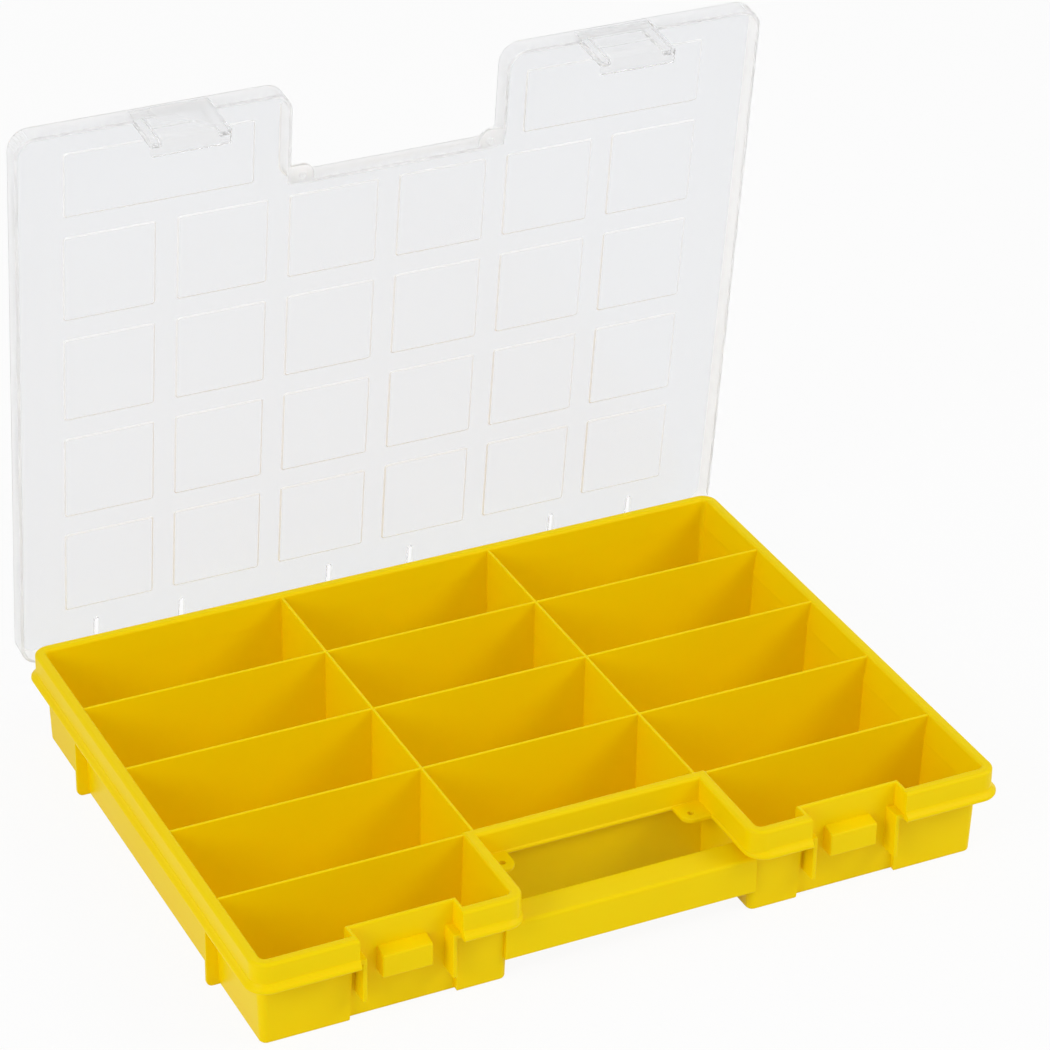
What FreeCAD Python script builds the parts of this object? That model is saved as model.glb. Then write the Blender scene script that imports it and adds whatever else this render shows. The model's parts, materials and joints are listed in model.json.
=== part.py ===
import FreeCAD, Part
import math
import os

# Compartment parts box: a base tray with fixed compartments and a clear lid that stands open on snap hinges.
# Millimetres, +X right, +Y back, +Z up. The origin is the middle of the bottom, under the rim's centre.

# Rim and walls of the base
rim_width = 365.0           # over the upright rim band, left to right
rim_depth = 281.4           # over the rim band, front to back
rim_top = 48.5              # above the table
rim_wall = 5.4              # thickness of the rim band
rim_bevel = 1.6             # along the rim's top edges
rim_corner = 8.0            # outer corner radius of the rim
rim_band = 11.9             # from the rim's top down to the bead
bead_height = 2.4
bead_proud = 2.4            # bead in front of the rim band
notch_bead_proud = 1.2      # the same inside the handle notch
wall = 2.0                  # lower walls
floor_thickness = 2.0
draft_angle = 1.9           # outward lean of the lower walls, degrees
side_inset = 6.0            # lower wall behind the rim face at the table, left and right
back_inset = 5.0
front_inset = 9.2
lower_corner = 6.0          # vertical corners of the lower walls
foot_bevel = 1.2            # along the bottom edge

# Notch for the hand and its carrying handle
notch_width = 110.6         # between the rim faces
notch_depth = 51.1          # behind the front rim face
notch_inset = 5.0           # lower wall behind the rim face at the table
notch_corner = 2.5          # the two rear corners of the notch
handle_set_back = 6.8       # behind the front rim face
handle_depth = 16.2
handle_bottom = 11.5
handle_height = 18.7
handle_lip = 9.0            # height of the channel's rear lip
handle_wall = 2.5
handle_bevel = 3.0          # along the front top edge

# Compartment dividers
back_row_depth = 54.0       # from the rim's inner face to the first row of dividers
row_pitch = 55.2
row_count = 3               # rows of dividers behind the notch
divider_top_width = 1.5
divider_foot_width = 2.1
divider_drop = 0.8          # below the rim's top
front_row_step = 0.7        # front dividers ahead of the notch's rear rim

# Latch stations in the front wall
latch_shift = 8.9           # from the middle of each front bay towards the notch
recess_width = 48.3
recess_inset = 11.8         # recessed wall behind the rim face at the table
recess_corner = 0.8
recess_bevel = 0.6          # along the recessed wall's top
guard_spacing = 42.4        # between the two guard fins
guard_width = 2.0
guard_set_back = 1.5        # behind the front rim face
guard_height = 22.6
catch_width = 23.8
catch_set_back = 3.7        # behind the front rim face
catch_height = 11.8
catch_drop = 0.2            # below the bead
catch_slope = 1.8           # rise of the catch's top towards the wall

# Ribs on the side walls
side_rib_end = 58.7         # from the rim's front and back faces
side_rib_width = 2.0

# Lugs for a tie or seal, one pair on the base and one on the lid
lug_hole_in = 8.2           # hole's centre from both faces of the notch corner
lug_hole_radius = 1.6
lug_rim = 3.9               # material round the hole
lug_thickness = 2.0
lug_land = 0.9              # from the hole to the lid's edge

# Hinges
hinge_from_side = 60.8      # outer hinges, from the rim's side face
ear_spacing = 43.8          # between the two ears of one hinge
ear_width = 2.0
hinge_back = 3.8            # axis behind the rim's back face
hinge_rise = 0.8            # axis above the bead
pin_radius = 1.5
pin_clearance = 0.07
clip_wall = 1.33
clip_mouth = 2.4            # opening of the clip, narrower than the pin
clip_side_gap = 0.4
open_angle = 83.3           # lid as it stands, from closed

# Lid, drawn closed and then turned up
lid_gap = 0.3               # plate above the rim
lid_plate = 1.8
lid_depth = 10.2            # over the plate and its skirt
lid_skirt = 1.5
lid_side_gap = 1.0          # between the rim and the skirt
lid_front_gap = 0.5
lid_rear_lip = 0.3          # behind the hinge clips
lid_corner = 10.0
lid_bevel = 0.8             # along the plate's outer edge
lid_notch_lap = 2.0         # lid's notch sides inside those of the base
lid_notch_corner = 6.0
slot_gap = 0.3              # each side of a hinge ear
slot_length = 12.0

# Raised panels on the lid's inner face
panel_columns = 6
panel_rows = 4
panel_gap = 10.0
panel_side_margin = 20.0    # from the lid's edge to half a gap outside the panels
panel_rear_margin = 16.0
panel_notch_margin = 7.0
panel_rise = 0.5
panel_corner = 4.0
ear_panel_notch_margin = 14.3
ear_panel_side_margin = 25.3
ear_panel_front_gap = 1.0   # behind the recessed wall

# Latch tabs
tab_width = 37.6
tab_side_gap = 0.4
tab_top_gap = 0.3           # under the plate
tab_rib_width = 5.0
tab_rib_rise = 2.5
tab_rib_drop = 2.5          # rib's end below the tab's top
hook_gap = 0.6              # under the catch
hook_height = 2.5
hook_lap = 1.7              # under the catch, from its front

# Levels and places that follow from the sizes above
front_y = -rim_depth / 2
back_y = rim_depth / 2
side_x = rim_width / 2
notch_x = notch_width / 2
notch_y = front_y + notch_depth
bead_top = rim_top - rim_band
bead_bottom = bead_top - bead_height
latch_x = (notch_x + side_x) / 2 - latch_shift
hinge_y = back_y + hinge_back
hinge_z = bead_top + hinge_rise
hinge_x = side_x - hinge_from_side
clip_radius = pin_radius + pin_clearance + clip_wall
lug_x = notch_x - lug_hole_in
lug_y = notch_y - lug_hole_in
plate_bottom = rim_top + lid_gap
plate_top = plate_bottom + lid_plate
skirt_bottom = plate_top - lid_depth
lid_side = side_x + lid_side_gap + lid_skirt
lid_front = front_y - lid_front_gap - lid_skirt
lid_rear = hinge_y + clip_radius + lid_rear_lip
lid_notch_x = notch_x - lid_notch_lap
lid_notch_y = lug_y + lug_hole_radius + lug_land
catch_front = front_y + catch_set_back
catch_top = bead_bottom - catch_drop
catch_bottom = catch_top - catch_height
tab_top = plate_bottom - tab_top_gap
hook_top = catch_bottom - hook_gap
tab_bottom = hook_top - hook_height
smallest_corner = 0.5
sides = (("left", -1), ("right", 1))
hinges = (("left", -hinge_x), ("middle", 0.0), ("right", hinge_x))


def lean(z):
    return z * math.tan(math.radians(draft_angle))


def rounded_wire(corners, z):
    # Closed outline of straight runs and quarter arcs through right-angled corners (x, y, radius).
    points = [FreeCAD.Vector(x, y, z) for x, y, radius in corners]
    arcs = []
    for i, corner in enumerate(points):
        before = points[i - 1] - corner
        after = points[(i + 1) % len(points)] - corner
        radius = min(max(corners[i][2], smallest_corner), 0.45 * min(before.Length, after.Length))
        before.normalize()
        after.normalize()
        middle = corner + (before + after) * (radius * (1 - math.sqrt(0.5)))
        arcs.append(Part.Arc(corner + before * radius, middle, corner + after * radius))
    edges = []
    for i, arc in enumerate(arcs):
        edges.append(arc.toShape())
        edges.append(Part.makeLine(arc.EndPoint, arcs[(i + 1) % len(arcs)].StartPoint))
    return Part.Wire(edges)


def mirrored(right_half):
    return right_half + [(-x, y, radius) for x, y, radius in reversed(right_half)]


def base_outline(z, side, back, front, notch, recess, bay, corner):
    # Plan of the base at height z. Each inset is measured inwards from the rim's outer face.
    x_bay = recess_width / 2 + bay
    y_front = front_y + front
    y_recess = front_y + recess
    return rounded_wire(mirrored([
        (notch_x + notch, notch_y + notch, notch_corner),
        (notch_x + notch, y_front, corner),
        (latch_x - x_bay, y_front, recess_corner),
        (latch_x - x_bay, y_recess, recess_corner),
        (latch_x + x_bay, y_recess, recess_corner),
        (latch_x + x_bay, y_front, recess_corner),
        (side_x - side, y_front, corner),
        (side_x - side, back_y - back, corner),
    ]), z)


def lower_outline(z, inset):
    # The leaning lower wall: its outer face with no inset, its inner face with the wall as inset.
    shift = inset - lean(z)
    return base_outline(z, side_inset + shift, back_inset + shift, front_inset + shift, notch_inset + shift,
                        recess_inset + shift, inset, lower_corner - inset)


def rim_outline(z, inset, recess, bay):
    return base_outline(z, inset, inset, inset, inset, recess, bay, rim_corner - inset)


def prism(wire, height):
    return Part.Face(wire).extrude(FreeCAD.Vector(0, 0, height))


def block(x0, x1, y0, y1, z0, z1):
    return Part.makeBox(x1 - x0, y1 - y0, z1 - z0, FreeCAD.Vector(x0, y0, z0))


def bar_along_x(profile, x0, x1):
    # Straight bar whose section is a list of (y, z) points.
    points = [FreeCAD.Vector(x0, y, z) for y, z in profile]
    return Part.Face(Part.makePolygon(points + points[:1])).extrude(FreeCAD.Vector(x1 - x0, 0, 0))


def rod_along_x(radius, x0, x1, y, z):
    return Part.makeCylinder(radius, x1 - x0, FreeCAD.Vector(x0, y, z), FreeCAD.Vector(1, 0, 0))


def write(name, shape):
    shape.exportStep("parts/" + name + ".step")


def base_body():
    # Outside of the base, still filled: lower walls, rim band and the bead between them.
    recess = recess_inset - lean(bead_bottom)
    lower = Part.makeLoft([
        lower_outline(0, foot_bevel),
        lower_outline(foot_bevel, 0),
        lower_outline(bead_bottom, 0),
    ], True, True)
    rim = Part.makeLoft([
        rim_outline(bead_bottom, 0, recess, 0),
        rim_outline(rim_top - rim_bevel, 0, recess, 0),
        rim_outline(rim_top, rim_bevel, recess + recess_bevel, recess_bevel),
    ], True, True)
    bead = prism(base_outline(bead_bottom, -bead_proud, -bead_proud, -bead_proud, -notch_bead_proud,
                              recess, 0, rim_corner + bead_proud), bead_height)
    body = lower.fuse(rim).fuse(bead)
    half_gap = (ear_spacing + ear_width) / 2
    for name, x in hinges:
        body = body.cut(block(x - half_gap, x + half_gap, back_y, back_y + 2 * bead_proud,
                              bead_bottom, bead_top))
    return body


def base_cavity():
    # The hollow inside: between the lower walls up to the ledge, and wider inside the rim.
    recess = recess_inset - lean(bead_bottom) + wall
    lower = Part.makeLoft([lower_outline(floor_thickness, wall), lower_outline(bead_top, wall)], True, True)
    upper = Part.makeLoft([
        rim_outline(bead_top, rim_wall, recess, wall),
        rim_outline(rim_top - rim_bevel, rim_wall, recess, wall),
        rim_outline(rim_top, rim_wall - rim_bevel, recess - recess_bevel, wall - recess_bevel),
    ], True, True)
    return lower.fuse(upper)


def divider_section(middle):
    top = rim_top - divider_drop
    return [
        (middle - divider_foot_width / 2, floor_thickness),
        (middle + divider_foot_width / 2, floor_thickness),
        (middle + divider_top_width / 2, top),
        (middle - divider_top_width / 2, top),
    ]


def column_divider(x, cavity):
    points = [FreeCAD.Vector(across, front_y, z) for across, z in divider_section(x)]
    slab = Part.Face(Part.makePolygon(points + points[:1])).extrude(FreeCAD.Vector(0, rim_depth, 0))
    return slab.common(cavity)


def row_divider(y, x0, x1, cavity, columns):
    slab = bar_along_x(divider_section(y), x0, x1).common(cavity)
    for column in columns:
        slab = slab.cut(column)
    return slab


def carry_handle(body):
    front = front_y + handle_set_back
    rear = front + handle_depth
    top = handle_bottom + handle_height
    section = [
        (front, handle_bottom),
        (front, top - handle_bevel),
        (front + handle_bevel, top),
        (rear, top),
        (rear, top - handle_lip),
        (rear - handle_wall, top - handle_lip),
        (rear - handle_wall, top - handle_wall),
        (front + handle_wall, top - handle_wall),
        (front + handle_wall, handle_bottom),
    ]
    reach = notch_x + notch_inset + wall
    return bar_along_x(section, -reach, reach).cut(body)


def latch_catch(x, body):
    wall_y = front_y + recess_inset
    section = [
        (catch_front, catch_bottom),
        (catch_front, catch_top),
        (wall_y, catch_top + catch_slope),
        (wall_y, catch_bottom),
    ]
    return bar_along_x(section, x - catch_width / 2, x + catch_width / 2).cut(body)


def latch_guard(x, side, body):
    # Upright fin beside the latch, with a shelf that reaches the end of the bead.
    fin_x = x + side * guard_spacing / 2
    edge_x = x + side * recess_width / 2
    front = front_y + guard_set_back
    wall_y = front_y + recess_inset
    fin = block(fin_x - guard_width / 2, fin_x + guard_width / 2, front, wall_y,
                bead_top - guard_height, bead_top)
    shelf = block(min(fin_x, edge_x), max(fin_x, edge_x), front, wall_y, bead_bottom, bead_top)
    return fin.fuse(shelf).cut(body).removeSplitter()


def side_rib(side, y, body):
    inner = side_x - side_inset - wall
    rib = block(min(side * inner, side * side_x), max(side * inner, side * side_x),
                y - side_rib_width / 2, y + side_rib_width / 2, 0, bead_bottom)
    return rib.cut(body)


def seal_lug(side, bottom, reach_x, reach_y, carrier):
    # Flat tab in a notch corner with a hole for a tie. The carrier is what it grows from.
    outer = lug_hole_radius + lug_rim
    x0 = lug_x - outer
    y0 = lug_y - outer
    corners = [(x0, y0, outer), (reach_x, y0, smallest_corner), (reach_x, reach_y, smallest_corner),
               (x0, reach_y, smallest_corner)]
    plan = [(side * x, y, radius) for x, y, radius in corners]
    tab = prism(rounded_wire(plan, bottom), lug_thickness)
    hole = Part.makeCylinder(lug_hole_radius, lug_thickness, FreeCAD.Vector(side * lug_x, lug_y, bottom))
    return tab.cut(hole).cut(carrier)


def hinge_ears(x, body):
    ears = []
    for side in (-1, 1):
        x0 = x + side * ear_spacing / 2 - ear_width / 2
        web = block(x0, x0 + ear_width, back_y - rim_wall, hinge_y,
                    hinge_z - clip_radius, hinge_z + clip_radius)
        disc = rod_along_x(clip_radius, x0, x0 + ear_width, hinge_y, hinge_z)
        ears.append(web.fuse(disc).cut(body).removeSplitter())
    return Part.makeCompound(ears)


def hinge_pin(x):
    half = (ear_spacing - ear_width) / 2
    return rod_along_x(pin_radius, x - half, x + half, hinge_y, hinge_z)


def lid_outline(z, inset):
    return rounded_wire(mirrored([
        (lid_notch_x + inset, lid_notch_y + inset, lid_notch_corner + inset),
        (lid_notch_x + inset, lid_front + inset, lid_corner - inset),
        (lid_side - inset, lid_front + inset, lid_corner - inset),
        (lid_side - inset, lid_rear - inset, lid_corner - inset),
    ]), z)


def panel(x0, x1, y0, y1):
    corners = [(x0, y0, panel_corner), (x1, y0, panel_corner), (x1, y1, panel_corner), (x0, y1, panel_corner)]
    return prism(rounded_wire(corners, plate_bottom - panel_rise), panel_rise)


def lid_panels():
    panels = []
    pitch_x = 2 * (lid_side - panel_side_margin) / panel_columns
    first_y = lid_rear - panel_rear_margin
    pitch_y = (first_y - lid_notch_y - panel_notch_margin) / panel_rows
    for row in range(panel_rows):
        y1 = first_y - row * pitch_y - panel_gap / 2
        y0 = y1 - pitch_y + panel_gap
        for column in range(panel_columns):
            x0 = panel_side_margin - lid_side + column * pitch_x + panel_gap / 2
            panels.append(panel(x0, x0 + pitch_x - panel_gap, y0, y1))
    ear_y0 = front_y + recess_inset + wall + ear_panel_front_gap - lean(bead_bottom)
    for name, side in sides:
        near = side * (lid_notch_x + ear_panel_notch_margin)
        far = side * (lid_side - ear_panel_side_margin)
        panels.append(panel(min(near, far), max(near, far), ear_y0, y0 - panel_gap))
    return panels


def lid_body():
    # Outside of the lid, still filled.
    return Part.makeLoft([
        lid_outline(skirt_bottom, 0),
        lid_outline(plate_top - lid_bevel, 0),
        lid_outline(plate_top, lid_bevel),
    ], True, True)


def lid_panel(filled):
    # Flat plate with a skirt all round, open for the latch tabs and slit beside the hinge clips.
    shell = filled.cut(prism(lid_outline(skirt_bottom, lid_skirt), plate_bottom - skirt_bottom))
    half_gap = tab_width / 2 + tab_side_gap
    for name, side in sides:
        x = side * latch_x
        shell = shell.cut(block(x - half_gap, x + half_gap, lid_front, lid_front + lid_skirt,
                                skirt_bottom, plate_bottom))
    half_slot = ear_width / 2 + slot_gap
    for name, x in hinges:
        for side in (-1, 1):
            slot_x = x + side * ear_spacing / 2
            shell = shell.cut(block(slot_x - half_slot, slot_x + half_slot, lid_rear - slot_length, lid_rear,
                                    skirt_bottom, plate_top))
    return shell.multiFuse(lid_panels())


def hinge_clip(x, lid):
    # Open ring that snaps over the pin, with a web up to the lid's rear skirt.
    half = (ear_spacing - ear_width) / 2 - clip_side_gap
    ring = rod_along_x(clip_radius, x - half, x + half, hinge_y, hinge_z)
    web = block(x - half, x + half, lid_rear - lid_skirt, lid_rear, hinge_z, skirt_bottom)
    bore = rod_along_x(pin_radius + pin_clearance, x - half, x + half, hinge_y, hinge_z)
    mouth = block(x - half, x + half, hinge_y - clip_mouth / 2, hinge_y + clip_mouth / 2,
                  hinge_z - 2 * clip_radius, hinge_z)
    return ring.fuse(web).cut(bore).cut(mouth).cut(lid).removeSplitter()


def latch_tab(x):
    # Flat tab in line with the skirt, stiffened by two side ribs, with a hook bar along its free end.
    half = tab_width / 2
    inner = lid_front + lid_skirt
    hook_y = catch_front + hook_lap
    tab = block(x - half, x + half, lid_front, inner, tab_bottom, tab_top)
    for side in (-1, 1):
        near = x + side * (half - tab_rib_width)
        far = x + side * half
        tab = tab.fuse(block(min(near, far), max(near, far), lid_front, inner + tab_rib_rise,
                             tab_bottom, tab_top - tab_rib_drop))
    hook = block(x - half, x + half, lid_front, hook_y, tab_bottom, hook_top)
    return tab.fuse(hook).removeSplitter()


def turned_up(shape):
    opened = shape.copy()
    opened.rotate(FreeCAD.Vector(0, hinge_y, hinge_z), FreeCAD.Vector(1, 0, 0), -open_angle)
    return opened


os.makedirs("parts", exist_ok=True)

# Base tray and its compartments
body = base_body()
cavity = base_cavity()
write("base_tray", body.cut(cavity))
columns = []
for name, side in sides:
    columns.append(column_divider(side * notch_x, cavity))
    write(name + "_column_divider", columns[-1])
bays = (("left", -side_x, -notch_x), ("middle", -notch_x, notch_x), ("right", notch_x, side_x))
for row in range(row_count):
    row_y = back_y - rim_wall - back_row_depth - row * row_pitch
    for name, x0, x1 in bays:
        write(name + "_row_divider_" + str(row + 1), row_divider(row_y, x0, x1, cavity, columns))
front_row_y = notch_y + rim_wall - divider_top_width / 2 - front_row_step
for name, x0, x1 in (bays[0], bays[2]):
    write(name + "_front_divider", row_divider(front_row_y, x0, x1, cavity, columns))

# Pieces that grow from the outside of the base
write("carry_handle", carry_handle(body))
for name, side in sides:
    x = side * latch_x
    write(name + "_latch_catch", latch_catch(x, body))
    write(name + "_outer_latch_guard", latch_guard(x, side, body))
    write(name + "_inner_latch_guard", latch_guard(x, -side, body))
    for place, rib_y in (("front", front_y + side_rib_end), ("back", back_y - side_rib_end)):
        write(name + "_" + place + "_side_rib", side_rib(side, rib_y, body))
    lug_bottom = bead_bottom + (bead_height - lug_thickness) / 2
    write(name + "_base_lug", seal_lug(side, lug_bottom, notch_x, notch_y, body))

# Hinges, with the lid and its latch tabs turned up
filled_lid = lid_body()
lid = lid_panel(filled_lid)
write("lid_panel", turned_up(lid))
for name, x in hinges:
    write(name + "_hinge_ears", hinge_ears(x, body))
    write(name + "_hinge_pin", hinge_pin(x))
    write(name + "_hinge_clip", turned_up(hinge_clip(x, lid)))
for name, side in sides:
    write(name + "_lid_lug", turned_up(seal_lug(side, skirt_bottom, lid_notch_x, lid_notch_y, filled_lid)))
    write(name + "_latch_tab", turned_up(latch_tab(side * latch_x)))
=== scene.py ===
import bpy
import bmesh
import json
import math
from mathutils import Matrix, Vector


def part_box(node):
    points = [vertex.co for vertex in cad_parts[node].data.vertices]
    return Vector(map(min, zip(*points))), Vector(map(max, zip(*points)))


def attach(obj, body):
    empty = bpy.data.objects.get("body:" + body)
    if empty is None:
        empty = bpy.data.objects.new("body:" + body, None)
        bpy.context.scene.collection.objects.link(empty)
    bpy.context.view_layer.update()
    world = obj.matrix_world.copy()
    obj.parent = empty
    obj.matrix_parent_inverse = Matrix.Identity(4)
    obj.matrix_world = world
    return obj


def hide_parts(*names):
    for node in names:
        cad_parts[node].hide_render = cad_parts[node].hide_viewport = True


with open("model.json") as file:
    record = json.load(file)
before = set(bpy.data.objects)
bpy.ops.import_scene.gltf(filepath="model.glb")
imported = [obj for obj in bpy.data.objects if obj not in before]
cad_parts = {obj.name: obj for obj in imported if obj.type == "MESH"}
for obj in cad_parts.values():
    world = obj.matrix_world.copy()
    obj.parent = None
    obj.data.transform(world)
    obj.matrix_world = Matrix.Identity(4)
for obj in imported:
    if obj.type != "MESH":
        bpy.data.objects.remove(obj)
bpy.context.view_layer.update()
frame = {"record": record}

# Pieces are drawn in millimetres in the CAD frame, the lid shut, and brought to metres when they are finished.
upright = 0.9  # share of a normal along Z that counts as facing up or down
beyond = 20  # how far a cutting shape runs past the edge
finishing = {"merge": 0.002, "sliver": 0.001, "smoothAngle": 32}


def nodeBox(node):
    low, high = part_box(node)
    return Vector(low) * 1000, Vector(high) * 1000


def pick(kind, test):  # selects what passes the test in the mesh being edited
    bpy.ops.mesh.select_mode(type=kind)
    bpy.ops.mesh.select_all(action="DESELECT")
    mesh = bmesh.from_edit_mesh(bpy.context.edit_object.data)
    for item in {"VERT": mesh.verts, "EDGE": mesh.edges, "FACE": mesh.faces}[kind]:
        if test(item):
            item.select_set(True)
    mesh.select_flush_mode()
    bmesh.update_edit_mesh(bpy.context.edit_object.data)


def editing(piece):
    bpy.ops.object.select_all(action="DESELECT")
    bpy.context.view_layer.objects.active = piece
    piece.select_set(True)
    bpy.ops.object.mode_set(mode="EDIT")


def doneEditing():
    bpy.ops.mesh.select_all(action="SELECT")
    bpy.ops.mesh.normals_make_consistent(inside=False)
    bpy.ops.object.mode_set(mode="OBJECT")


def startPlate(name, x0, x1, y0, y1, z):  # flat rectangle, left in edit mode
    bpy.ops.object.select_all(action="DESELECT")
    bpy.ops.mesh.primitive_plane_add(size=1, location=(0, 0, 0))
    plate = bpy.context.object
    plate.name = name
    editing(plate)
    bpy.ops.mesh.select_all(action="SELECT")
    bpy.ops.transform.resize(value=(x1 - x0, y1 - y0, 1), center_override=(0, 0, 0))
    bpy.ops.transform.translate(value=((x0 + x1) / 2, (y0 + y1) / 2, z))
    return plate


def startBlock(name, low, high):  # box between two corners, left in edit mode
    bpy.ops.object.select_all(action="DESELECT")
    bpy.ops.mesh.primitive_cube_add(size=1, location=(0, 0, 0))
    block = bpy.context.object
    block.name = name
    editing(block)
    bpy.ops.mesh.select_all(action="SELECT")
    bpy.ops.transform.resize(value=[b - a for a, b in zip(low, high)], center_override=(0, 0, 0))
    bpy.ops.transform.translate(value=[(a + b) / 2 for a, b in zip(low, high)])
    return block


def startRod(name, radius, low, high, along, sides=32):  # round bar between two points, left in edit mode
    bpy.ops.object.select_all(action="DESELECT")
    turn = {"X": (0, math.pi / 2, 0), "Z": (0, 0, 0)}[along]
    length = (Vector(high) - Vector(low)).length
    bpy.ops.mesh.primitive_cylinder_add(vertices=sides, radius=radius, depth=length,
                                        location=(Vector(low) + Vector(high)) / 2, rotation=turn)
    bpy.ops.object.transform_apply(location=True, rotation=True, scale=True)
    rod = bpy.context.object
    rod.name = name
    editing(rod)
    return rod


def cutOut(x0, x1, y0, y1):  # takes a rectangle out of the plate being edited
    for place, normal in (((x0, 0, 0), (1, 0, 0)), ((x1, 0, 0), (1, 0, 0)),
                          ((0, y0, 0), (0, 1, 0)), ((0, y1, 0), (0, 1, 0))):
        bpy.ops.mesh.select_all(action="SELECT")
        bpy.ops.mesh.bisect(plane_co=place, plane_no=normal)
    pick("FACE", lambda f: x0 < f.calc_center_median().x < x1 and y0 < f.calc_center_median().y < y1)
    bpy.ops.mesh.delete(type="FACE")


def oneFace():  # turns the plate being edited into a single face with only its corners
    bpy.ops.mesh.select_all(action="SELECT")
    bpy.ops.mesh.dissolve_faces()
    bpy.ops.mesh.dissolve_limited(angle_limit=math.radians(1))


def roundCorners(test, radius, segments):
    pick("VERT", lambda v: test(v.co))
    bpy.ops.mesh.bevel(offset=radius, segments=segments, affect="VERTICES")


def pull(height):  # extrudes what is selected along Z
    bpy.ops.mesh.extrude_region_move(TRANSFORM_OT_translate={"value": (0, 0, height)})


def closeSlab(height):  # gives the plate being edited a thickness
    bpy.ops.mesh.select_all(action="SELECT")
    pull(height)
    bpy.ops.mesh.select_all(action="SELECT")
    bpy.ops.mesh.normals_make_consistent(inside=False)


def stepIn(steps):  # each step goes in from the selected face's edge and along its normal
    for inwards, along in steps:
        bpy.ops.mesh.inset(thickness=inwards, depth=along)


def quarterTurn(radius, count, first):  # steps of a rounded edge: first "up" then in, or first "in" then down
    steps = []
    place = (0, 0)
    for k in range(1, count + 1):
        turn = math.pi / 2 * k / count
        if first == "up":
            there = (radius * (1 - math.cos(turn)), radius * math.sin(turn))
        else:
            there = (radius * math.sin(turn), -radius * (1 - math.cos(turn)))
        steps.append((there[0] - place[0], there[1] - place[1]))
        place = there
    return steps


def facing(z):
    return lambda f: f.normal.z * z > upright


def largest(z):  # test for the largest face that faces up or down
    mesh = bmesh.from_edit_mesh(bpy.context.edit_object.data)
    size = max(f.calc_area() for f in mesh.faces if f.normal.z * z > upright)
    return lambda f: f.normal.z * z > upright and f.calc_area() > 0.999 * size


def combine(piece, tool, operation):
    bpy.ops.object.select_all(action="DESELECT")
    bpy.context.view_layer.objects.active = piece
    piece.select_set(True)
    change = piece.modifiers.new("combine", "BOOLEAN")
    change.operation = operation
    change.solver = "EXACT"
    change.object = tool
    bpy.ops.object.modifier_apply(modifier="combine")
    bpy.data.objects.remove(tool)


def gather(name, pieces):  # several objects into one
    bpy.ops.object.select_all(action="DESELECT")
    for piece in pieces:
        piece.select_set(True)
    bpy.context.view_layer.objects.active = pieces[0]
    if len(pieces) > 1:
        bpy.ops.object.join()
    pieces[0].name = name
    return pieces[0]


def copyOf(piece, name, move):  # copy with its own mesh, moved in the mesh
    other = piece.copy()
    other.data = piece.data.copy()
    other.name = name
    bpy.context.collection.objects.link(other)
    editing(other)
    bpy.ops.mesh.select_all(action="SELECT")
    bpy.ops.transform.translate(value=move)
    bpy.ops.object.mode_set(mode="OBJECT")
    return other


def mirrored(piece, name):
    other = copyOf(piece, name, (0, 0, 0))
    editing(other)
    bpy.ops.mesh.select_all(action="SELECT")
    bpy.ops.transform.resize(value=(-1, 1, 1), center_override=(0, 0, 0))
    doneEditing()
    return other


def finishPiece(piece, body, nodes, turn=0.0, pivot=(0, 0, 0)):
    editing(piece)
    bpy.ops.mesh.select_all(action="SELECT")
    bpy.ops.mesh.remove_doubles(threshold=finishing["merge"])
    bpy.ops.mesh.dissolve_degenerate(threshold=finishing["sliver"])
    doneEditing()
    middle = Matrix.Translation(Vector(pivot))
    toMetres = Matrix.Scale(0.001, 4)
    piece.matrix_world = toMetres @ middle @ Matrix.Rotation(turn, 4, "X") @ middle.inverted()
    bpy.ops.object.select_all(action="DESELECT")
    bpy.context.view_layer.objects.active = piece
    piece.select_set(True)
    bpy.ops.object.transform_apply(location=True, rotation=True, scale=True)
    bpy.ops.object.shade_smooth_by_angle(angle=math.radians(finishing["smoothAngle"]))
    even = piece.modifiers.new("even normals", "WEIGHTED_NORMAL")
    even.keep_sharp = True
    bpy.ops.object.modifier_apply(modifier="even normals")
    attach(piece, body)
    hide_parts(*nodes)
    print(piece.name, len(piece.data.polygons), "faces")


# Base: rim ring, lower tub and bead
trayLow, trayHigh = nodeBox("base_tray")
columnLow, columnHigh = nodeBox("right_column_divider")
catchLow, catchHigh = nodeBox("right_latch_catch")
tray = {"beadProud": 2.4, "notchBead": 0.7, "rimWall": 5.4, "rimRound": 1.6, "rimCorner": 8.0, "band": 11.9,
        "rimLean": 0.6, "sideLean": 1.1, "beadHeight": 2.4, "beadFlank": 2.0, "flankFrom": 1.2, "beadRound": 1.0,
        "beadBury": 2.2, "wall": 2.0, "floor": 2.0, "draft": math.tan(math.radians(1.9)), "lowerCorner": 4.5,
        "sideInset": 6.0, "backInset": 5.0, "frontInset": 9.2, "notchInset": 5.0, "recessInset": 11.8,
        "notchDepth": 51.1, "bayHalf": 24.15, "footRound": 1.2, "floorRound": 1.0, "arcSteps": 10,
        "overlap": 0.2, "recessEase": 0.12}
# Bead: its flank in shares of its width and height, a soft S up to the rim
flankSteps = ((0.03, 0.16), (0.14, 0.14), (0.22, 0.14), (0.24, 0.16), (0.2, 0.2), (0.15, 0.2))
sideX = trayHigh.x - tray["beadProud"]
frontY = trayLow.y + tray["beadProud"]
backY = trayHigh.y - tray["beadProud"]
rimTop = trayHigh.z
notchX = (columnLow.x + columnHigh.x) / 2
notchY = frontY + tray["notchDepth"]
beadTop = rimTop - tray["band"]
beadBottom = beadTop - tray["beadHeight"]
latchX = (catchLow.x + catchHigh.x) / 2
recessY = frontY + tray["recessInset"] - beadBottom * tray["draft"] - tray["recessEase"]


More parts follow.
